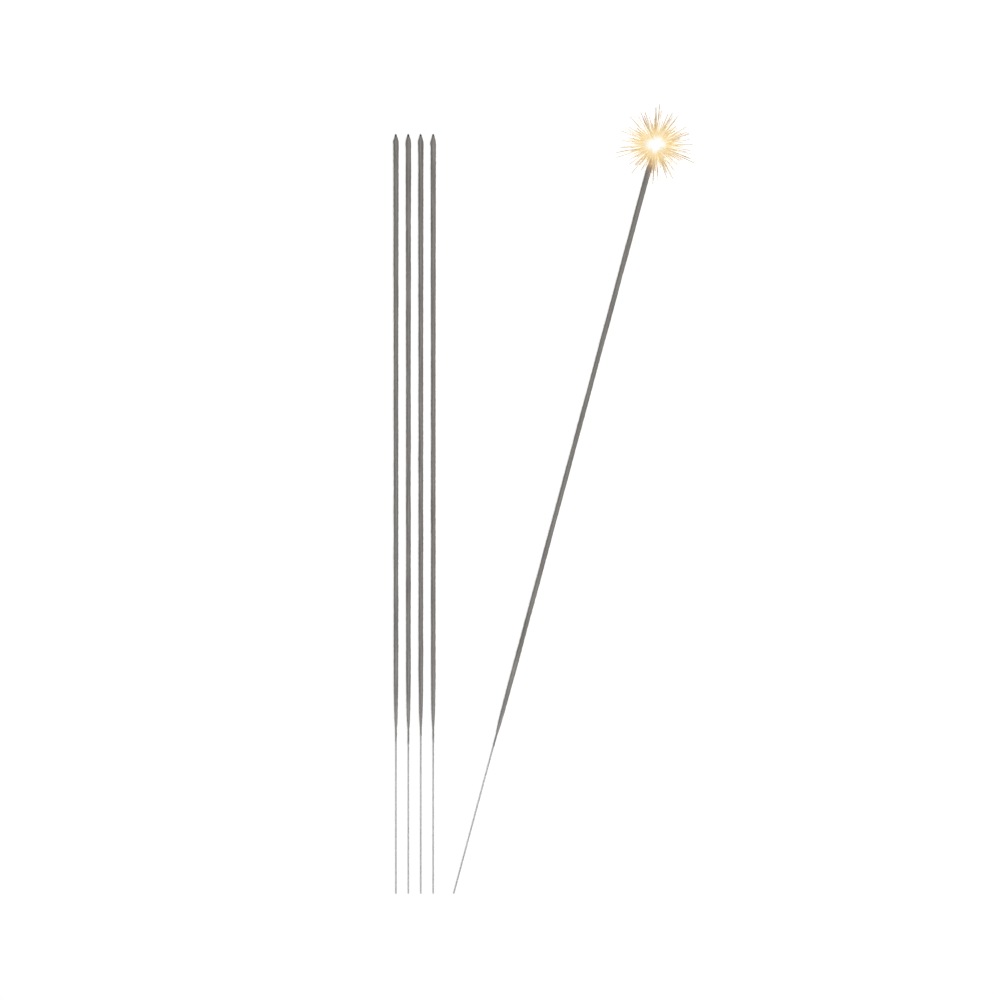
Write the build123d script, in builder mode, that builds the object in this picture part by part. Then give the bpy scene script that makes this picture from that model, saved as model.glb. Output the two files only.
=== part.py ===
from build123d import *
import math
import os

# Long hand sparklers lying flat: a row of unlit ones and one lit, which leans away from it.
# Each is a steel wire dipped twice in the spark composition. +Y runs from handle to point,
# +Z is up, and the origin is the middle of the whole set on the surface that it lies on.
# All sizes are in millimetres and all angles in degrees.

# Wire
sparkler_length = 700.0
wire_diameter = 1.1
nose_cover = 4.0

# First dip: a thin skin on the wire, which reaches further down it than the second
first_dip_thickness = 0.23
first_dip_feather = 4.0
bare_handle = 140.0

# Second dip: the thick coat, with a feathered neck, a slow taper and a drip at its head
first_dip_showing = 11.0
neck_foot_length = 6.5
neck_foot_diameter = 2.5
neck_length = 15.5
neck_diameter = 3.5
tail_length = 36.0
body_diameter = 4.15
crown_length = 190.0
crown_diameter = 4.75
head_rise = 8.0
head_diameter = 4.95
nose_length = 9.0
nose_swell = 0.3

# Priming: a dark dab on the point
priming_diameter = 2.0
priming_length = 2.2
priming_end_diameter = 0.6

# Lay of the set
row_count = 4
row_pitch = 11.45
lit_gap = 18.85
lit_lean = 15.07

# Flame of the lit one
flame_ahead = 14.3
flame_diameter = 12.0
flame_neck_diameter = 1.6
floor_clearance = 0.2

# Sparks of the lit one
spark_clearance = 0.15
spark_root_width = 0.5
spark_tip_width = 0.14
# bearing from +X, climb above the surface, and level reach from the middle of the flame
long_sparks = (
    (88, 8, 35.0), (84, 1, 37.8), (68, 2, 30.4), (62, 8, 33.2), (52, 3, 33.2),
    (30, 6, 32.2), (22, 1, 28.6), (17, 8, 32.2), (0, 4, 34.1), (-22, 9, 30.4),
    (-25, 1, 39.6), (-63, 5, 35.0), (-71, 2, 32.2), (-94, 6, 36.9), (198, 2, 37.8),
    (192, 8, 37.8), (173, 3, 31.3), (158, 6, 34.1), (132, 3, 35.0),
)
short_spark_count = 130
short_spark_least_climb = 18.0
short_spark_most_climb = 75.0
short_spark_least_reach = 13.0
short_spark_most_reach = 30.0
upright_shrink = 0.6
golden_angle = 180.0 * (3.0 - math.sqrt(5.0))
golden_share = (math.sqrt(5.0) - 1.0) / 2.0

# Radii, and stations along a sparkler from its handle end
wire_radius = wire_diameter / 2
first_dip_radius = wire_radius + first_dip_thickness
neck_foot_radius = neck_foot_diameter / 2
neck_radius = neck_diameter / 2
body_radius = body_diameter / 2
crown_radius = crown_diameter / 2
head_radius = head_diameter / 2
priming_radius = priming_diameter / 2
wire_end = sparkler_length - nose_cover
first_dip_end = wire_end + first_dip_thickness
second_dip_foot = bare_handle + first_dip_showing
neck_foot_top = second_dip_foot + neck_foot_length
neck_top = neck_foot_top + neck_length
tail_top = neck_top + tail_length
head_station = sparkler_length - nose_length
crown_top = head_station - head_rise
crown_foot = crown_top - crown_length
priming_seat = sparkler_length - priming_length

# Direction of the stick in a sparkler's profile, whose X is the radius and whose Y is the station
along = Vector(0, 1)


def spark_ray(bearing, climb):
    """Unit vector of a spark that leaves at a bearing from +X and climbs above the surface."""
    level = math.cos(math.radians(climb))
    return Vector(
        level * math.cos(math.radians(bearing)),
        level * math.sin(math.radians(bearing)),
        math.sin(math.radians(climb)),
    )


def short_spark(index):
    """Ray and reach of one short spark, with all of them spread evenly over a dome."""
    lowest = math.sin(math.radians(short_spark_least_climb))
    highest = math.sin(math.radians(short_spark_most_climb))
    rise = lowest + (highest - lowest) * (index + 0.5) / short_spark_count
    share = index * golden_share % 1.0
    reach = short_spark_least_reach + (short_spark_most_reach - short_spark_least_reach) * share
    ray = spark_ray(index * golden_angle, math.degrees(math.asin(rise)))
    return ray, reach * (1.0 - upright_shrink * rise**3)


# Every spark, as its ray from the middle of the flame and its reach along that ray
sparks = [
    (spark_ray(bearing, climb), reach / math.cos(math.radians(climb)))
    for bearing, climb, reach in long_sparks
]
sparks += [short_spark(index) for index in range(short_spark_count)]

# The set's own box, from the first sparkler's handle end, gives the place of the origin
lit_handle_x = (row_count - 1) * row_pitch + lit_gap
lean_sine = math.sin(math.radians(lit_lean))
lean_cosine = math.cos(math.radians(lit_lean))
flame_station = sparkler_length + flame_ahead
spark_right = max(ray.X * reach for ray, reach in sparks)
spark_top = max(ray.Y * reach for ray, reach in sparks)
set_left = -head_radius
set_right = lit_handle_x + flame_station * lean_sine + spark_right
set_low = -wire_radius * lean_sine
set_top = flame_station * lean_cosine + spark_top
set_middle = Vector((set_left + set_right) / 2, (set_low + set_top) / 2, 0)


def lay_plane(handle_x, lean):
    """Level plane of one sparkler: origin at its handle end on its axis, local Y to its point."""
    lean = math.radians(lean)
    return Plane(
        origin=Vector(handle_x, 0, head_radius) - set_middle,
        x_dir=(math.cos(lean), -math.sin(lean), 0),
        z_dir=(0, 0, 1),
    )


def stick_axis(lay):
    """The long axis of the sparkler that lies on this plane."""
    return Axis(lay.origin, lay.y_dir)


def save(piece, node):
    """Label a finished piece and write it under its node's name."""
    piece.label = node
    export_step(piece, f"parts/{node}.step")


def make_core_wire(lay, name):
    """Drawn steel wire, cut square, bare at the handle and buried in the coats above it."""
    with BuildPart() as core_wire:
        with BuildSketch(lay):
            with BuildLine():
                Polyline((0, 0), (wire_radius, 0), (wire_radius, wire_end), (0, wire_end), close=True)
            make_face()
        revolve(axis=stick_axis(lay))
    save(core_wire.part, f"{name}_core_wire")


def make_first_dip(lay, name):
    """Thin first coat: feathered at its foot and closed over the wire's end."""
    with BuildPart() as first_dip:
        with BuildSketch(lay):
            with BuildLine():
                foot = Vector(wire_radius, bare_handle)
                shoulder = Vector(first_dip_radius, bare_handle + first_dip_feather)
                Spline(foot, shoulder, tangents=(shoulder - foot, along))
                Polyline(
                    shoulder,
                    (first_dip_radius, first_dip_end),
                    (0, first_dip_end),
                    (0, wire_end),
                    (wire_radius, wire_end),
                    foot,
                )
            make_face()
        revolve(axis=stick_axis(lay))
    save(first_dip.part, f"{name}_first_dip")


def make_second_dip(lay, name):
    """Thick second coat, as it dried hanging point down: thin neck, slow swell, drip head."""
    outline = [
        Vector(first_dip_radius, second_dip_foot),
        Vector(neck_foot_radius, neck_foot_top),
        Vector(neck_radius, neck_top),
        Vector(body_radius, tail_top),
        Vector(body_radius, crown_foot),
        Vector(crown_radius, crown_top),
        Vector(head_radius, head_station),
    ]
    bends = [after - before for before, after in zip(outline, outline[2:])]
    directions = [outline[1] - outline[0], *bends, along]
    with BuildPart() as second_dip:
        for place in range(len(bends) + 1):
            with BuildSketch(lay):
                with BuildLine():
                    low = outline[place]
                    high = outline[place + 1]
                    Spline(low, high, tangents=directions[place : place + 2])
                    Polyline(high, (0, high.Y), (0, low.Y), low)
                make_face()
            revolve(axis=stick_axis(lay), clean=False)
        with BuildSketch(lay):
            with BuildLine():
                nose = SagittaArc(outline[-1], (priming_radius, priming_seat), -nose_swell)
                Polyline(nose @ 1, (0, priming_seat), (0, head_station), nose @ 0)
            make_face()
        revolve(axis=stick_axis(lay), clean=False)
        with BuildSketch(lay):
            with BuildLine():
                Polyline(
                    (0, bare_handle),
                    (first_dip_radius, bare_handle),
                    (first_dip_radius, first_dip_end),
                    (0, first_dip_end),
                    close=True,
                )
            make_face()
        revolve(axis=stick_axis(lay), clean=False, mode=Mode.SUBTRACT)
    save(second_dip.part, f"{name}_second_dip")


def make_priming_tip(lay, name):
    """Dab of priming that seats on the flat of the nose and ends in a blunt point."""
    with BuildPart() as priming_tip:
        with BuildSketch(lay):
            with BuildLine():
                Polyline(
                    (0, priming_seat),
                    (priming_radius, priming_seat),
                    (priming_end_diameter / 2, sparkler_length),
                    (0, sparkler_length),
                    close=True,
                )
            make_face()
        revolve(axis=stick_axis(lay))
    save(priming_tip.part, f"{name}_priming_tip")


def make_flame(lay, name):
    """White-hot flame: a ball drawn off the burning nose on a thin neck, flat where it meets the floor."""
    flame_radius = flame_diameter / 2
    neck_half = flame_neck_diameter / 2
    neck_meets_ball = flame_station - math.sqrt(flame_radius**2 - neck_half**2)
    with BuildPart() as flame:
        with BuildSketch(lay):
            with BuildLine():
                stem = Polyline((0, priming_seat), (neck_half, priming_seat), (neck_half, neck_meets_ball))
                ball = ThreePointArc(
                    stem @ 1, (flame_radius, flame_station), (0, flame_station + flame_radius)
                )
                Line(ball @ 1, stem @ 0)
            make_face()
        revolve(axis=stick_axis(lay))
        split(bisect_by=Plane.XY.offset(floor_clearance), keep=Keep.TOP)
    save(flame.part, f"{name}_flame")


def make_spark(middle, ray, reach):
    """One glowing spark: a four-sided needle that leaves the flame on a straight ray and thins outwards."""
    root_radius = flame_diameter / 2 + spark_clearance
    length = reach - root_radius
    thinning = (spark_root_width - spark_tip_width) / 2
    with BuildPart() as spark:
        with BuildSketch(Plane(origin=middle + ray * root_radius, z_dir=ray)):
            Rectangle(spark_root_width, spark_root_width)
        extrude(amount=length, taper=math.degrees(math.atan(thinning / length)))
    return spark.part.solid()


def make_spark_streaks(lay, name):
    """All the sparks of the burst, each a solid by itself."""
    middle = lay.from_local_coords((0, flame_station, 0))
    spark_streaks = Compound([make_spark(middle, ray, reach) for ray, reach in sparks])
    save(spark_streaks, f"{name}_spark_streaks")


os.makedirs("parts", exist_ok=True)

# The unlit row
for place in range(row_count):
    row_lay = lay_plane(place * row_pitch, 0)
    row_name = f"sparkler_{place + 1}"
    make_core_wire(row_lay, row_name)
    make_first_dip(row_lay, row_name)
    make_second_dip(row_lay, row_name)
    make_priming_tip(row_lay, row_name)

# The lit sparkler, whose priming has burnt off
lit_lay = lay_plane(lit_handle_x, lit_lean)
make_core_wire(lit_lay, "lit_sparkler")
make_first_dip(lit_lay, "lit_sparkler")
make_second_dip(lit_lay, "lit_sparkler")
make_flame(lit_lay, "lit_sparkler")
make_spark_streaks(lit_lay, "lit_sparkler")
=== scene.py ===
import math

import bpy
import numpy as np
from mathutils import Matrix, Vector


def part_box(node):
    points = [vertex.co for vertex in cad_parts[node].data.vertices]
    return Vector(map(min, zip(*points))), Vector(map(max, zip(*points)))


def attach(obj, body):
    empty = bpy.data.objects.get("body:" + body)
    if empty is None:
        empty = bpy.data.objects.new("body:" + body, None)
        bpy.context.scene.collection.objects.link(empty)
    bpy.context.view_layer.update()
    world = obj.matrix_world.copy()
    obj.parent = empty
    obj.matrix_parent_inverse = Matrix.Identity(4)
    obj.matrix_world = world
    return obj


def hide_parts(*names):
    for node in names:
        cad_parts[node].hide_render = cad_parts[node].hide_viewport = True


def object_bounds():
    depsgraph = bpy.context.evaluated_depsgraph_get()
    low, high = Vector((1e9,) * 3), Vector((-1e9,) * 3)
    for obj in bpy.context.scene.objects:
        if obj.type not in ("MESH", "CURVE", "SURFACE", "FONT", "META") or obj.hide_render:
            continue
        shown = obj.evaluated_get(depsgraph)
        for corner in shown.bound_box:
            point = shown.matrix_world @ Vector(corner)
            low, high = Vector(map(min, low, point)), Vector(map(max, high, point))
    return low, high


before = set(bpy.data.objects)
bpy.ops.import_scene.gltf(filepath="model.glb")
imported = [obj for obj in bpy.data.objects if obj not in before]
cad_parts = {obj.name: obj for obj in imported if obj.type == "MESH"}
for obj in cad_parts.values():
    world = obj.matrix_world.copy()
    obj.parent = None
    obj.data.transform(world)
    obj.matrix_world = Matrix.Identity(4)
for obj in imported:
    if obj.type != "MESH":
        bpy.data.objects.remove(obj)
cad_low, cad_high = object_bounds()

# Core wires
# Drawn low-carbon steel, cut square at the handle end and left bare there for the hand. The coats
# have dried round it above the handle, and the slurry that ran off them has dulled it just below.
row = ("sparkler_1", "sparkler_2", "sparkler_3", "sparkler_4")
lit = "lit_sparkler"
leans = {**dict.fromkeys(row, 0.0), lit: math.radians(15.07)}
up = np.array((0.0, 0.0, 1.0))
stain_foot = 0.105
stain_top = 0.137
sticks = {}
for body, lean in leans.items():
    wire_low, wire_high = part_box(f"{body}_core_wire")
    wire_radius = (wire_high.z - wire_low.z) / 2
    handle_end = (
        wire_low.x + wire_radius * math.cos(lean),
        wire_low.y + wire_radius * math.sin(lean),
        wire_low.z + wire_radius,
    )
    sticks[body] = np.array(handle_end), np.array((math.sin(lean), math.cos(lean), 0.0))


def srgb(red, green, blue):
    """A screen colour, 0 to 255, as the linear colour that a shader takes."""
    screen = np.array((red, green, blue)) / 255
    linear = np.where(screen <= 0.04045, screen / 12.92, ((screen + 0.055) / 1.055) ** 2.4)
    return (*linear.tolist(), 1.0)


def feed(node, inputs):
    """Set a node's inputs by name, or link those that are given as another node's output."""
    for name, value in inputs.items():
        if isinstance(value, bpy.types.NodeSocket):
            node.id_data.links.new(value, node.inputs[name])
        else:
            node.inputs[name].default_value = value
    return node


def add_node(tree, kind, inputs, **settings):
    """A new node with these settings and inputs."""
    node = tree.nodes.new(kind)
    for name, value in settings.items():
        setattr(node, name, value)
    return feed(node, inputs)


def add_ramp(tree, share, stops):
    """A colour ramp through (share, colour) stops."""
    ramp = add_node(tree, "ShaderNodeValToRGB", {"Fac": share})
    elements = ramp.color_ramp.elements
    while len(elements) < len(stops):
        elements.new(1.0)
    for element, (place, colour) in zip(elements, stops):
        element.position = place
        element.color = colour
    return ramp.outputs["Color"]


def new_material(name):
    """A new material, its node tree and its main shader."""
    material = bpy.data.materials.new(name)
    material.use_nodes = True
    return material, material.node_tree, material.node_tree.nodes["Principled BSDF"]


drawn_steel, tree, shader = new_material("drawn_steel")
place = add_node(tree, "ShaderNodeTexCoord", {}).outputs["Object"]
mottle = add_node(tree, "ShaderNodeTexNoise", {"Vector": place, "Scale": 700.0, "Detail": 4.0})
steel_tone = add_ramp(
    tree, mottle.outputs["Fac"], [(0.3, srgb(114, 114, 114)), (0.7, srgb(156, 156, 156))]
)
height = add_node(tree, "ShaderNodeSeparateXYZ", {"Vector": place}).outputs["Y"]
stain_share = add_node(
    tree,
    "ShaderNodeMapRange",
    {"Value": height, "From Min": cad_low.y + stain_foot, "From Max": cad_low.y + stain_top},
)
stain = add_ramp(
    tree, stain_share.outputs["Result"], [(0.0, srgb(255, 255, 255)), (1.0, srgb(222, 220, 218))]
)
stained = add_node(
    tree,
    "ShaderNodeMix",
    {"Factor": 1.0, "A": steel_tone, "B": stain},
    data_type="RGBA",
    blend_type="MULTIPLY",
)
feed(shader, {"Base Color": stained.outputs["Result"], "Metallic": 0.85, "Roughness": 0.42})
for body in sticks:
    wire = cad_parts[f"{body}_core_wire"]
    wire.data.materials.clear()
    wire.data.materials.append(drawn_steel)


# First dips
# A thin grey skin of the spark composition from the first dip. It reaches further down the wire
# than the second dip and ends there in a ragged edge, where the slurry ran thin.
film_thickness = 0.00023
film_radius = wire_radius + film_thickness
film_feet = {
    "sparkler_1": 0.1396,
    "sparkler_2": 0.1380,
    "sparkler_3": 0.1432,
    "sparkler_4": 0.1405,
    lit: 0.1402,
}
film_ragged = 0.0013
film_feather = 0.0022
film_unevenness = 0.00004
film_sides = 20
film_lead = 0.005
film_showing = 0.022
showing_step = 0.00025
hidden_step = 0.004
hidden_end = 0.002
edge_depth = 0.00008
under_wire = wire_radius - edge_depth
sway_foot = 0.686
sway_span = 0.014


def ripple(station, angle, seed, count, shortest, longest, most_turns):
    """Seeded unevenness along and round a stick: smooth waves, about one unit either way."""
    chance = np.random.default_rng(seed)
    total = np.zeros(np.broadcast(station, angle).shape)
    for wave in range(count):
        length = shortest * (longest / shortest) ** chance.random()
        turns = chance.integers(-most_turns, most_turns + 1)
        total += np.sin(2 * np.pi * (station / length + chance.random()) + turns * angle)
    return total / math.sqrt(count / 2)


def sleeve(name, body, stations, sides, radius_at, material, point_sway=0.0):
    """A closed skin round a stick, with a cap at both ends. Its point may stand off the axis."""
    handle, heading = sticks[body]
    across = np.cross(heading, up)
    station = np.asarray(stations)[:, None]
    sway = point_sway * np.clip((station - sway_foot) / sway_span, 0, None) ** 2
    angle = np.linspace(0, 2 * np.pi, sides, endpoint=False)[None, :]
    radius = radius_at(station, angle)[..., None]
    out = np.cos(angle)[..., None] * across + np.sin(angle)[..., None] * up
    points = handle + station[..., None] * heading + sway[..., None] * across + radius * out
    rings = len(stations)
    ring, side = np.meshgrid(np.arange(rings - 1), np.arange(sides), indexing="ij")
    here = ring * sides + side
    beside = ring * sides + (side + 1) % sides
    quads = np.stack((here, here + sides, beside + sides, beside), axis=-1).reshape(-1, 4)
    caps = [list(range(sides)), list(range(rings * sides - 1, (rings - 1) * sides - 1, -1))]
    mesh = bpy.data.meshes.new(name)
    mesh.from_pydata(points.reshape(-1, 3).tolist(), [], quads.tolist() + caps)
    mesh.shade_smooth()
    mesh.materials.append(material)
    skin = bpy.data.objects.new(name, mesh)
    bpy.context.scene.collection.objects.link(skin)
    return skin


first_coat, tree, shader = new_material("first_coat")
place = add_node(tree, "ShaderNodeTexCoord", {}).outputs["Object"]
mottle = add_node(tree, "ShaderNodeTexNoise", {"Vector": place, "Scale": 900.0, "Detail": 5.0})
film_tone = add_ramp(
    tree, mottle.outputs["Fac"], [(0.3, srgb(112, 110, 108)), (0.7, srgb(138, 136, 133))]
)
feed(shader, {"Base Color": film_tone, "Roughness": 0.8})
for seed, (body, foot) in enumerate(film_feet.items()):

    def film_radius_at(station, angle):
        """Radius of the film, which rises out of the wire at its ragged edge."""
        edge = foot + film_ragged * ripple(foot, angle, 10 + seed, 8, 0.01, 0.1, 3)
        rise = np.clip((station - edge) / film_feather, 0, 1)
        uneven = film_unevenness * ripple(station, angle, 20 + seed, 14, 0.003, 0.012, 2)
        return under_wire + (film_radius + uneven - under_wire) * rise * rise * (3 - 2 * rise)

    film_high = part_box(f"{body}_first_dip")[1]
    film_end = (film_high.y - sticks[body][0][1]) / math.cos(leans[body])
    film_stations = np.concatenate(
        (
            np.arange(foot - film_lead, foot + film_showing, showing_step),
            np.arange(foot + film_showing, film_end - hidden_end, hidden_step),
        )
    )
    film = sleeve(
        f"{body}_first_dip_skin", body, film_stations, film_sides, film_radius_at, first_coat
    )
    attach(film, body)
    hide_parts(f"{body}_first_dip")


# Second dips
# The thick coat: iron filings and aluminium powder in a grey binder, dipped and hung point down to
# dry, so that it feathers out at the neck, swells slowly and sets as a drip round the wire's end.
neck_shifts = {
    "sparkler_1": 0.0003,
    "sparkler_2": -0.0001,
    "sparkler_3": 0.0015,
    "sparkler_4": 0.0024,
    lit: 0.0,
}
neck_span = 0.03
# The lump on one side of each head: its distance back from the end, its height and half length
head_bumps = {
    "sparkler_1": (0.0046, 0.00044, 0.0014),
    "sparkler_2": (0.0072, 0.00010, 0.0028),
    "sparkler_3": (0.0062, 0.00020, 0.0022),
    "sparkler_4": (0.0066, 0.00034, 0.0024),
    lit: (0.0080, 0.0, 0.0020),
}
point_sways = {
    "sparkler_1": -0.00024,
    "sparkler_2": -0.00024,
    "sparkler_3": -0.00030,
    "sparkler_4": -0.00014,
    lit: 0.0,
}
coat_inside = film_radius * 1.01
coat_sides = 36
coat_lead = 0.003
coat_step = 0.0009
head_step = 0.00035
head_span = 0.02
head_blend = 0.008
fair_lead = 0.012
fair_step = 0.0005
fair_window = 23
streak_depth = 0.00005
lump_depth = 0.00004
crumb_depth = 0.00002
full_coat = 0.0008
edge_ragged = 0.0012
edge_feather = 0.002
burn_foot = 0.687
burn_top = 0.698


def cad_outline(body, piece, least_radius):
    """Stations along a stick and the CAD piece's radius at each, outside this least radius."""
    handle, heading = sticks[body]
    points = np.array([vertex.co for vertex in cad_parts[f"{body}_{piece}"].data.vertices]) - handle
    station = points @ heading
    radius = np.linalg.norm(points - station[:, None] * heading, axis=1)
    widest = {round(float(station.min()), 6): least_radius}
    for place, reach in zip(station.round(6).tolist(), radius.tolist()):
        if reach > least_radius:
            widest[place] = max(reach, widest.get(place, 0.0))
    return np.array(sorted(widest.items())).T


def grain_group():
    """Geometry nodes that strew small angular grains over a coat and make one mesh of both."""
    group = bpy.data.node_groups.new("coat_grains", "GeometryNodeTree")
    inputs = {}
    for name, kind in (
        ("Coat", "NodeSocketGeometry"),
        ("Grains per area", "NodeSocketFloat"),
        ("Grain radius", "NodeSocketFloat"),
        ("Seed", "NodeSocketInt"),
        ("Material", "NodeSocketMaterial"),
    ):
        inputs[name] = group.interface.new_socket(name, in_out="INPUT", socket_type=kind).identifier
    group.interface.new_socket("Coat", in_out="OUTPUT", socket_type="NodeSocketGeometry")
    given = group.nodes.new("NodeGroupInput").outputs
    strewn = add_node(
        group,
        "GeometryNodeDistributePointsOnFaces",
        {"Mesh": given["Coat"], "Density": given["Grains per area"], "Seed": given["Seed"]},
    )
    crystal = add_node(
        group, "GeometryNodeMeshIcoSphere", {"Radius": given["Grain radius"], "Subdivisions": 1}
    )
    spin = add_node(group, "FunctionNodeRandomValue", {"Seed": given["Seed"]}, data_type="FLOAT_VECTOR")
    feed(spin, {"Min": (0.0, 0.0, 0.0), "Max": (6.3, 6.3, 6.3)})
    size = add_node(group, "FunctionNodeRandomValue", {"Seed": given["Seed"]}, data_type="FLOAT_VECTOR")
    feed(size, {"Min": (0.5, 0.5, 0.4), "Max": (1.3, 1.1, 0.9)})
    grains = add_node(
        group,
        "GeometryNodeInstanceOnPoints",
        {
            "Points": strewn.outputs["Points"],
            "Instance": crystal.outputs["Mesh"],
            "Rotation": spin.outputs["Value"],
            "Scale": size.outputs["Value"],
        },
    )
    both = group.nodes.new("GeometryNodeJoinGeometry")
    group.links.new(grains.outputs["Instances"], both.inputs["Geometry"])
    group.links.new(given["Coat"], both.inputs["Geometry"])
    real = add_node(group, "GeometryNodeRealizeInstances", {"Geometry": both.outputs["Geometry"]})
    painted = add_node(
        group,
        "GeometryNodeSetMaterial",
        {"Geometry": real.outputs["Geometry"], "Material": given["Material"]},
    )
    feed(group.nodes.new("NodeGroupOutput"), {"Coat": painted.outputs["Geometry"]})
    return group, inputs


def grow(piece, group, values):
    """Run geometry nodes on a piece with these input values and keep the result as its plain mesh."""
    modifier = piece.modifiers.new("grow", "NODES")
    modifier.node_group = group
    for identifier, value in values.items():
        modifier[identifier] = value
    grown = piece.evaluated_get(bpy.context.evaluated_depsgraph_get())
    mesh = bpy.data.meshes.new_from_object(grown)
    piece.modifiers.remove(modifier)
    piece.data = mesh


def coat_material(name, body, burnt):
    """Grey granular composition; the burnt one is charred and glows where its head is alight."""
    material, tree, shader = new_material(name)
    handle, heading = sticks[body]
    across = np.cross(heading, up)
    place = add_node(tree, "ShaderNodeTexCoord", {}).outputs["Object"]
    along_stick = add_node(
        tree,
        "ShaderNodeMapping",
        {
            "Vector": place,
            "Location": (-handle @ across, -handle @ heading, 0.0),
            "Rotation": (0.0, 0.0, leans[body]),
        },
    ).outputs["Vector"]
    station = add_node(tree, "ShaderNodeSeparateXYZ", {"Vector": along_stick}).outputs["Y"]
    drawn_out = add_node(tree, "ShaderNodeMapping", {"Vector": along_stick, "Scale": (900.0, 30.0, 900.0)})
    streaks = add_node(
        tree, "ShaderNodeTexNoise", {"Vector": drawn_out.outputs["Vector"], "Scale": 1.0, "Detail": 3.0}
    )
    grain = add_node(tree, "ShaderNodeTexNoise", {"Vector": place, "Scale": 1500.0, "Detail": 6.0})
    mixed = add_node(
        tree,
        "ShaderNodeMix",
        {"Factor": 0.45, "A": streaks.outputs["Fac"], "B": grain.outputs["Fac"]},
        data_type="FLOAT",
    )
    tone = add_ramp(
        tree,
        mixed.outputs["Result"],
        [(0.32, srgb(100, 97, 94)), (0.5, srgb(132, 129, 126)), (0.68, srgb(157, 154, 151))],
    )
    # These stops are stations in metres: the coat is palest at its neck
    shade = add_ramp(
        tree,
        station,
        [(0.17, srgb(255, 255, 255)), (0.23, srgb(234, 232, 230)), (0.7, srgb(230, 227, 224))],
    )
    coloured = add_node(
        tree,
        "ShaderNodeMix",
        {"Factor": 1.0, "A": tone, "B": shade},
        data_type="RGBA",
        blend_type="MULTIPLY",
    ).outputs["Result"]
    bump = add_node(
        tree, "ShaderNodeBump", {"Strength": 0.5, "Distance": 0.0001, "Height": grain.outputs["Fac"]}
    )
    feed(shader, {"Base Color": coloured, "Roughness": 0.72, "Normal": bump.outputs["Normal"]})
    if burnt:
        burn = add_node(
            tree, "ShaderNodeMapRange", {"Value": station, "From Min": burn_foot, "From Max": burn_top}
        ).outputs["Result"]
        char = add_ramp(
            tree, burn, [(0.0, srgb(112, 104, 98)), (0.6, srgb(128, 108, 90)), (1.0, srgb(165, 130, 92))]
        )
        charred = add_node(
            tree, "ShaderNodeMix", {"Factor": burn, "A": coloured, "B": char}, data_type="RGBA"
        ).outputs["Result"]
        ember = add_ramp(
            tree, burn, [(0.12, srgb(0, 0, 0)), (0.45, srgb(82, 66, 50)), (1.0, srgb(165, 130, 90))]
        )
        feed(shader, {"Base Color": charred, "Emission Color": ember, "Emission Strength": 0.8})
    return material


grain_nodes, grain_inputs = grain_group()
row_coat = coat_material("spark_coat", "sparkler_1", burnt=False)
lit_coat = coat_material("lit_spark_coat", lit, burnt=True)
for seed, body in enumerate(sticks):
    outline_station, outline_radius = cad_outline(body, "second_dip", coat_inside)
    coat_foot, coat_end = outline_station[0], outline_station[-1]
    fine = np.arange(coat_foot - fair_lead, coat_end, fair_step)
    drawn = np.interp(fine, outline_station, outline_radius)
    window = np.hanning(fair_window) / np.hanning(fair_window).sum()
    smooth = np.convolve(np.pad(drawn, fair_window // 2, mode="edge"), window, mode="valid")
    head_share = np.clip((fine - (coat_end - head_span)) / head_blend, 0, 1)
    fair = smooth + (drawn - smooth) * head_share
    bump_back, bump_height, bump_width = head_bumps[body]

    def coat_radius_at(station, angle):
        """Radius of the coat: the fair outline with streaks, lumps, crumbs and a ragged foot."""
        shift = neck_shifts[body] * np.clip(1 - (station - coat_foot) / neck_span, 0, 1)
        radius = np.interp(station - shift, fine, fair) + 0 * angle
        grown = np.clip((radius - film_radius) / full_coat, 0, 1)
        uneven = streak_depth * ripple(station, angle, 30 + seed, 16, 0.03, 0.14, 4)
        uneven += lump_depth * ripple(station, angle, 40 + seed, 40, 0.004, 0.014, 4)
        uneven += crumb_depth * ripple(station, angle, 50 + seed, 60, 0.0015, 0.004, 9)
        side = np.cos((angle - np.pi) / 2) ** 8
        bump = bump_height * np.exp(-(((station - (coat_end - bump_back)) / bump_width) ** 2)) * side
        edge = coat_foot + edge_ragged * ripple(coat_foot, angle, 60 + seed, 8, 0.01, 0.1, 3)
        rise = np.clip((station - edge) / edge_feather, 0, 1)
        return under_wire + (radius + uneven * grown + bump - under_wire) * rise

    coat_stations = np.concatenate(
        (
            np.arange(coat_foot - coat_lead, coat_end - head_span, coat_step),
            np.arange(coat_end - head_span, coat_end, head_step),
            [coat_end],
        )
    )
    coat_paint = lit_coat if body == lit else row_coat
    coat = sleeve(
        f"{body}_second_dip_coat",
        body,
        coat_stations,
        coat_sides,
        coat_radius_at,
        coat_paint,
        point_sways[body],
    )
    grow(
        coat,
        grain_nodes,
        {
            grain_inputs["Grains per area"]: 450000.0,
            grain_inputs["Grain radius"]: 0.00014,
            grain_inputs["Seed"]: seed,
            grain_inputs["Material"]: coat_paint,
        },
    )
    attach(coat, body)
    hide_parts(f"{body}_second_dip")


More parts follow.
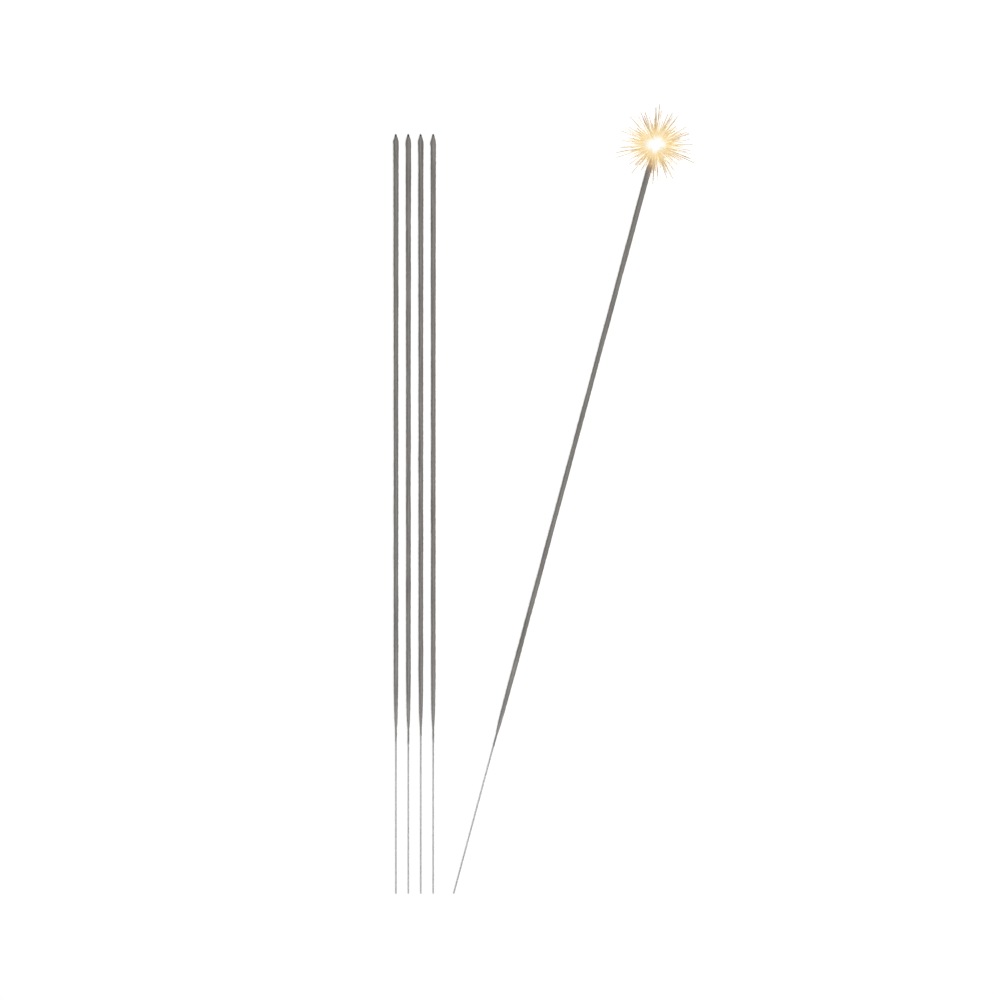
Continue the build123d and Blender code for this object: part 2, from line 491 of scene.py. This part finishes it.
# Priming dabs
# A dab of fine black priming on the point of each unlit sparkler, which takes the match.
# It is dipped on last and dries as a matt drop over the end of the nose.
dab_back = 0.0029
dab_overlap = 0.00005
dab_skirt = 0.75
dab_taper = 1.1
dab_unevenness = 0.05
dab_sides = 20
dab_rings = 22
dab_tip = 0.0015
priming_black, tree, shader = new_material("priming_black")
place = add_node(tree, "ShaderNodeTexCoord", {}).outputs["Object"]
mottle = add_node(tree, "ShaderNodeTexNoise", {"Vector": place, "Scale": 2500.0, "Detail": 4.0})
dab_tone = add_ramp(tree, mottle.outputs["Fac"], [(0.3, srgb(12, 12, 12)), (0.7, srgb(32, 31, 30))])
feed(shader, {"Base Color": dab_tone, "Roughness": 0.8})
for seed, body in enumerate(row):
    dab_station, dab_outline = cad_outline(body, "priming_tip", 0.0)
    coat_station, coat_outline = cad_outline(body, "second_dip", coat_inside)
    point = dab_station[-1]
    seat_radius = dab_outline.max() + dab_overlap

    def dab_radius_at(station, angle):
        """Radius of the dab: a blunt drop, which fits over the nose at its back."""
        back = (point - station) / dab_back
        drop = seat_radius * np.sqrt(np.clip(1 - (1 - back) ** 2, 0, 1)) ** dab_taper
        nose = np.interp(station, coat_station, coat_outline) + dab_overlap
        radius = np.where(back > dab_skirt, np.maximum(drop, nose), drop) + 0 * angle
        uneven = dab_unevenness * ripple(station, angle, 70 + seed, 16, 0.001, 0.004, 3)
        return radius * (1 + uneven)

    dab_stations = point - dab_back * np.linspace(1, dab_tip, dab_rings)
    dab = sleeve(
        f"{body}_priming_dab",
        body,
        dab_stations,
        dab_sides,
        dab_radius_at,
        priming_black,
        point_sways[body],
    )
    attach(dab, body)
    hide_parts(f"{body}_priming_tip")


# Flame
# The burning head of the lit sparkler: white-hot gas and metal vapour, drawn out in short tongues
# and joined to the nose by a waisted stem. It gives light and has no surface to touch.
flame_low, flame_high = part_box(f"{lit}_flame")
handle, heading = sticks[lit]
lit_end = cad_outline(lit, "second_dip", coat_inside)[0][-1]
cad_flame_radius = 0.006
flame_middle = np.array(
    (flame_high.x - cad_flame_radius, flame_high.y - cad_flame_radius, handle[2])
)
ball_radius = 0.0048
ball_stretch = 1.2, 0.92, 1.0
tongue_count = 16
tongue_length = 0.001
side_tongue_length = 0.0018
tongue_jitter = 0.6
tongue_climb = 35
tongue_sharpness = 30
stem_radius = 0.0019
stem_waist = 0.0009
stem_unevenness = 0.00012
stem_sides = 16
stem_rings = 24
stem_sunk = 0.0006
stem_short = 0.003
glow_reach = 0.02
flame_glow, tree, shader = new_material("flame_glow")
tree.nodes.remove(shader)
place = add_node(tree, "ShaderNodeTexCoord", {}).outputs["Object"]
away = add_node(
    tree, "ShaderNodeVectorMath", {0: place, 1: tuple(flame_middle)}, operation="DISTANCE"
).outputs["Value"]
away_share = add_node(
    tree, "ShaderNodeMath", {0: away, 1: glow_reach}, operation="DIVIDE"
).outputs["Value"]
heat = add_ramp(
    tree,
    away_share,
    [
        (0.38, srgb(255, 255, 255)),
        (0.45, srgb(255, 248, 228)),
        (0.50, srgb(236, 210, 164)),
        (0.58, srgb(208, 174, 126)),
        (0.70, srgb(196, 160, 114)),
        (0.86, srgb(180, 148, 112)),
    ],
)
glow = add_node(tree, "ShaderNodeEmission", {"Color": heat, "Strength": 1.05})
feed(tree.nodes["Material Output"], {"Surface": glow.outputs["Emission"]})
bpy.ops.mesh.primitive_ico_sphere_add(subdivisions=5, radius=1.0)
flame = bpy.context.object
flame.name = "lit_sparkler_flame_ball"
chance = np.random.default_rng(5)
points = np.array([vertex.co for vertex in flame.data.vertices])
reach = np.full(len(points), ball_radius)
for tongue in range(tongue_count):
    bearing = 2 * np.pi * (tongue + tongue_jitter * chance.random()) / tongue_count
    climb = math.radians(chance.uniform(0, tongue_climb))
    level = math.cos(climb)
    ray = np.array((math.cos(bearing) * level, math.sin(bearing) * level, math.sin(climb)))
    length = tongue_length + side_tongue_length * abs(math.cos(bearing)) ** 3
    reach += length * np.clip(points @ ray, 0, 1) ** tongue_sharpness
points = flame_middle + points * reach[:, None] * ball_stretch
points[:, 2] = np.maximum(points[:, 2], flame_low.z)
flame.data.vertices.foreach_set("co", points.ravel())
flame.data.shade_smooth()
flame.data.materials.append(flame_glow)
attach(flame, lit)
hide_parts(f"{lit}_flame")
flame.visible_shadow = False


def stem_radius_at(station, angle):
    """Radius of the stem, drawn in between the nose and the ball."""
    share = (station - stem_stations[0]) / (stem_stations[-1] - stem_stations[0])
    drawn_in = stem_waist * np.sin(np.pi * np.clip(share * 1.1, 0, 1) ** 1.4)
    return stem_radius - drawn_in + stem_unevenness * ripple(station, angle, 80, 12, 0.002, 0.008, 2)


stem_top = (flame_middle - handle) @ heading - stem_short
stem_stations = np.linspace(lit_end - stem_sunk, stem_top, stem_rings)
flame_stem = sleeve(
    "lit_sparkler_flame_stem", lit, stem_stations, stem_sides, stem_radius_at, flame_glow
)
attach(flame_stem, lit)
flame_stem.visible_shadow = False


# Sparks
# Burning iron filings that the flame throws off. Each is seen as a straight thin streak: white at
# its root, then gold, and dull brown where it cools and goes out.
spark_shell = 0.0045
long_climb = math.radians(12)
short_climbs = math.radians(2), math.radians(32)
short_reaches = 0.011, 0.035
short_spread = 0.55
long_spread = 0.2
stick_sector = math.radians(17)
over_stick_climb = 0.2
over_stick_reach = 0.9
# How fast a spark cools on its way across, along and above the table
cooling_pace = 0.88, 1.12, 0.3
spark_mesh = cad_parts[f"{lit}_spark_streaks"].data
corners = np.array([vertex.co for vertex in spark_mesh.vertices]) - flame_middle
corner_reach = np.linalg.norm(corners, axis=1)


def spark_group():
    """Geometry nodes that turn each spark's ray into a bundle of thin tapered streaks."""
    group = bpy.data.node_groups.new("spark_streaks", "GeometryNodeTree")
    inputs = {}
    for name, kind in (
        ("Sparks", "NodeSocketGeometry"),
        ("Strands", "NodeSocketInt"),
        ("Least share", "NodeSocketFloat"),
        ("Half width", "NodeSocketFloat"),
        ("Seed", "NodeSocketInt"),
        ("Material", "NodeSocketMaterial"),
    ):
        inputs[name] = group.interface.new_socket(name, in_out="INPUT", socket_type=kind).identifier
    group.interface.new_socket("Sparks", in_out="OUTPUT", socket_type="NodeSocketGeometry")
    given = group.nodes.new("NodeGroupInput").outputs
    roots = add_node(group, "GeometryNodeMeshToPoints", {"Mesh": given["Sparks"]})
    bundle = add_node(
        group,
        "GeometryNodeDuplicateElements",
        {"Geometry": roots.outputs["Points"], "Amount": given["Strands"]},
        domain="POINT",
    )
    stray = add_node(
        group, "ShaderNodeMath", {0: bundle.outputs["Duplicate Index"], 1: 1.0}, operation="MINIMUM"
    ).outputs["Value"]
    ray = add_node(group, "GeometryNodeInputNamedAttribute", {"Name": "ray"}, data_type="FLOAT_VECTOR")
    reach = add_node(group, "GeometryNodeInputNamedAttribute", {"Name": "reach"}, data_type="FLOAT")
    fan = add_node(group, "GeometryNodeInputNamedAttribute", {"Name": "fan"}, data_type="FLOAT")
    wander = add_node(
        group, "FunctionNodeRandomValue", {"Seed": given["Seed"]}, data_type="FLOAT_VECTOR"
    )
    feed(wander, {"Min": (-1.0, -1.0, -1.0), "Max": (1.0, 1.0, 1.0)})
    spread = add_node(
        group, "ShaderNodeMath", {0: stray, 1: fan.outputs["Attribute"]}, operation="MULTIPLY"
    )
    turned = add_node(
        group,
        "ShaderNodeVectorMath",
        {0: wander.outputs["Value"], "Scale": spread.outputs["Value"]},
        operation="SCALE",
    )
    aimed = add_node(
        group,
        "ShaderNodeVectorMath",
        {0: ray.outputs["Attribute"], 1: turned.outputs["Vector"]},
        operation="ADD",
    )
    # The aim of a streak falls by 0.02 at most, so that none dips into the table
    off_floor = add_node(
        group,
        "ShaderNodeVectorMath",
        {0: aimed.outputs["Vector"], 1: (-9.0, -9.0, -0.02)},
        operation="MAXIMUM",
    )
    facing = add_node(
        group, "FunctionNodeAlignRotationToVector", {"Vector": off_floor.outputs["Vector"]}, axis="Z"
    )
    # Sockets are given by place in these nodes, where several have one name
    share = add_node(group, "FunctionNodeRandomValue", {"Seed": given["Seed"]}, data_type="FLOAT")
    group.links.new(given["Least share"], share.inputs[2])
    share.inputs[3].default_value = 1.0
    kept = add_node(
        group, "ShaderNodeMix", {0: stray, 2: 1.0, 3: share.outputs[1]}, data_type="FLOAT"
    )
    length = add_node(
        group,
        "ShaderNodeMath",
        {0: reach.outputs["Attribute"], 1: kept.outputs[0]},
        operation="MULTIPLY",
    )
    stoutness = add_node(group, "ShaderNodeMapRange", {"Value": stray, "To Min": 2.5, "To Max": 1.0})
    width = add_node(
        group,
        "ShaderNodeMath",
        {0: given["Half width"], 1: stoutness.outputs["Result"]},
        operation="MULTIPLY",
    ).outputs["Value"]
    scale = add_node(
        group, "ShaderNodeCombineXYZ", {"X": width, "Y": width, "Z": length.outputs["Value"]}
    )
    needle = add_node(
        group,
        "GeometryNodeMeshCone",
        {"Vertices": 5, "Side Segments": 4, "Radius Top": 0.7, "Radius Bottom": 1.0, "Depth": 1.0},
    )
    other_seed = add_node(group, "ShaderNodeMath", {0: given["Seed"], 1: 1.0}, operation="ADD")
    tone = add_node(
        group, "FunctionNodeRandomValue", {"Seed": other_seed.outputs["Value"]}, data_type="FLOAT"
    )
    toned = add_node(
        group,
        "GeometryNodeStoreNamedAttribute",
        {"Geometry": bundle.outputs["Geometry"], "Name": "tone"},
        data_type="FLOAT",
        domain="POINT",
    )
    group.links.new(tone.outputs[1], toned.inputs["Value"])
    streaks = add_node(
        group,
        "GeometryNodeInstanceOnPoints",
        {
            "Points": toned.outputs["Geometry"],
            "Instance": needle.outputs["Mesh"],
            "Rotation": facing.outputs["Rotation"],
            "Scale": scale.outputs["Vector"],
        },
    )
    real = add_node(group, "GeometryNodeRealizeInstances", {"Geometry": streaks.outputs["Instances"]})
    painted = add_node(
        group,
        "GeometryNodeSetMaterial",
        {"Geometry": real.outputs["Geometry"], "Material": given["Material"]},
    )
    feed(group.nodes.new("NodeGroupOutput"), {"Sparks": painted.outputs["Geometry"]})
    return group, inputs


def spark_far_ends():
    """The far end of every spark of the CAD piece, whose corners share edges or lie on one spot."""
    island = list(range(len(spark_mesh.vertices)))

    def top(vertex):
        while island[vertex] != vertex:
            vertex = island[vertex]
        return vertex

    for edge in spark_mesh.edges:
        first, second = (top(vertex) for vertex in edge.vertices)
        island[second] = first
    joined = {}
    for vertex in range(len(island)):
        spot = tuple(corners[vertex].round(6))
        joined.setdefault(spot, vertex)
        island[top(vertex)] = top(joined[spot])
    sparks = {}
    for vertex in range(len(island)):
        sparks.setdefault(top(vertex), []).append(vertex)
    far_ends = []
    for members in sparks.values():
        ends = corner_reach[members]
        outer = ends > (ends.min() + ends.max()) / 2
        far_ends.append(corners[members][outer].mean(axis=0))
    return np.array(far_ends)


far_ends = spark_far_ends()
chance = np.random.default_rng(11)
spark_reach = np.linalg.norm(far_ends, axis=1)
climb = np.arcsin(far_ends[:, 2] / spark_reach)
bearing = np.arctan2(far_ends[:, 1], far_ends[:, 0])
short = climb > long_climb
spark_reach[short] = chance.uniform(*short_reaches, short.sum())
climb[short] = chance.uniform(*short_climbs, short.sum())
fan = np.where(short, short_spread, long_spread)
backwards = np.cos(bearing) * -heading[0] + np.sin(bearing) * -heading[1]
over_stick = short & (backwards > math.cos(stick_sector))
climb[over_stick] *= over_stick_climb
spark_reach[over_stick] *= over_stick_reach
fan[over_stick] = long_spread
level = np.cos(climb)
rays = np.stack((level * np.cos(bearing), level * np.sin(bearing), np.sin(climb)), axis=1)
spark_guide = bpy.data.meshes.new("lit_sparkler_sparks")
spark_guide.from_pydata((flame_middle + rays * spark_shell).tolist(), [], [])
spark_guide.attributes.new("ray", "FLOAT_VECTOR", "POINT").data.foreach_set("vector", rays.ravel())
spark_guide.attributes.new("reach", "FLOAT", "POINT").data.foreach_set("value", spark_reach - spark_shell)
spark_guide.attributes.new("fan", "FLOAT", "POINT").data.foreach_set("value", fan)
spark_streaks = bpy.data.objects.new("lit_sparkler_sparks", spark_guide)
bpy.context.scene.collection.objects.link(spark_streaks)

spark_glow, tree, shader = new_material("spark_glow")
tree.nodes.remove(shader)
place = add_node(tree, "ShaderNodeTexCoord", {}).outputs["Object"]
flight = add_node(
    tree, "ShaderNodeVectorMath", {0: place, 1: tuple(flame_middle)}, operation="SUBTRACT"
)
flattened = add_node(
    tree,
    "ShaderNodeVectorMath",
    {0: flight.outputs["Vector"], 1: cooling_pace},
    operation="MULTIPLY",
)
flown = add_node(tree, "ShaderNodeVectorMath", {0: flattened.outputs["Vector"]}, operation="LENGTH")
tone = add_node(tree, "ShaderNodeAttribute", {}, attribute_name="tone").outputs["Fac"]
fade_length = add_node(
    tree, "ShaderNodeMapRange", {"Value": tone, "To Min": 0.038, "To Max": 0.053}
)
flown_share = add_node(
    tree,
    "ShaderNodeMath",
    {0: flown.outputs["Value"], 1: fade_length.outputs["Result"]},
    operation="DIVIDE",
).outputs["Value"]
cooling = add_ramp(
    tree,
    flown_share,
    [
        (0.14, srgb(255, 254, 248)),
        (0.20, srgb(251, 234, 198)),
        (0.29, srgb(247, 223, 176)),
        (0.40, srgb(224, 201, 158)),
        (0.56, srgb(196, 171, 136)),
        (0.71, srgb(179, 157, 129)),
        (0.95, srgb(172, 157, 139)),
    ],
)
patches = add_node(tree, "ShaderNodeTexNoise", {"Vector": place, "Scale": 230.0, "Detail": 2.0})
warmth = add_ramp(
    tree, patches.outputs["Fac"], [(0.4, srgb(255, 255, 255)), (0.62, srgb(255, 243, 216))]
)
warmed = add_node(
    tree,
    "ShaderNodeMix",
    {"Factor": 1.0, "A": cooling, "B": warmth},
    data_type="RGBA",
    blend_type="MULTIPLY",
)
brightness = add_node(tree, "ShaderNodeMapRange", {"Value": tone, "To Min": 0.86, "To Max": 1.14})
glow = add_node(
    tree,
    "ShaderNodeEmission",
    {"Color": warmed.outputs["Result"], "Strength": brightness.outputs["Result"]},
)
feed(tree.nodes["Material Output"], {"Surface": glow.outputs["Emission"]})
spark_nodes, spark_inputs = spark_group()
grow(
    spark_streaks,
    spark_nodes,
    {
        spark_inputs["Strands"]: 9,
        spark_inputs["Least share"]: 0.45,
        spark_inputs["Half width"]: 0.000135,
        spark_inputs["Seed"]: 7,
        spark_inputs["Material"]: spark_glow,
    },
)
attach(spark_streaks, lit)
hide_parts(f"{lit}_spark_streaks")
spark_streaks.visible_shadow = False


# Floor, light and camera
# A white table top under one large soft light, high on the right, with a weaker even light round it.
# The camera looks straight down from far off through a long lens.
def backdrop_seen(tree):
    """1 where the backdrop is looked at, straight or in a reflection, and 0 where it only lights."""
    path = add_node(tree, "ShaderNodeLightPath", {}).outputs
    seen = path["Is Camera Ray"]
    for ray in ("Is Glossy Ray", "Is Transmission Ray"):
        seen = add_node(
            tree, "ShaderNodeMath", {0: seen, 1: path[ray]}, operation="MAXIMUM"
        ).outputs["Value"]
    return seen


bpy.ops.mesh.primitive_plane_add(size=12.0, location=(0.0, 0.0, 0.0))
floor = bpy.context.object
floor.name = "floor"
floor_white, tree, shader = new_material("floor_white")
lift = add_node(
    tree, "ShaderNodeMapRange", {"Value": backdrop_seen(tree), "To Min": 0.0, "To Max": 0.38}
)
feed(
    shader,
    {
        "Base Color": (0.68, 0.68, 0.68, 1.0),
        "Roughness": 0.9,
        "Specular IOR Level": 0.0,
        "Emission Color": (1.0, 1.0, 1.0, 1.0),
        "Emission Strength": lift.outputs["Result"],
    },
)
floor.data.materials.append(floor_white)

world = bpy.data.worlds.new("studio")
bpy.context.scene.world = world
world.use_nodes = True
tree = world.node_tree
strength = add_node(
    tree, "ShaderNodeMapRange", {"Value": backdrop_seen(tree), "To Min": 0.12, "To Max": 1.0}
)
feed(
    tree.nodes["Background"],
    {"Color": (1.0, 1.0, 1.0, 1.0), "Strength": strength.outputs["Result"]},
)
softbox_data = bpy.data.lights.new("softbox", "AREA")
softbox_data.shape = "DISK"
softbox_data.size = 2.8
softbox_data.energy = 198.0
softbox = bpy.data.objects.new("softbox", softbox_data)
softbox.location = (0.65, 0.2, 4.5)
softbox.rotation_euler = (-softbox.location).to_track_quat("-Z", "Y").to_euler()
softbox.visible_camera = False
bpy.context.scene.collection.objects.link(softbox)

view_width = 0.9214
view_middle = (-0.0404, -0.0010)
stick_height = 0.0025
camera_data = bpy.data.cameras.new("camera")
camera_data.lens = 120.0
camera_data.sensor_width = 36.0
camera = bpy.data.objects.new("camera", camera_data)
camera_distance = view_width * camera_data.lens / camera_data.sensor_width
camera.location = (*view_middle, camera_distance + stick_height)
bpy.context.scene.collection.objects.link(camera)
bpy.context.scene.camera = camera
bpy.context.scene.view_settings.view_transform = "Standard"
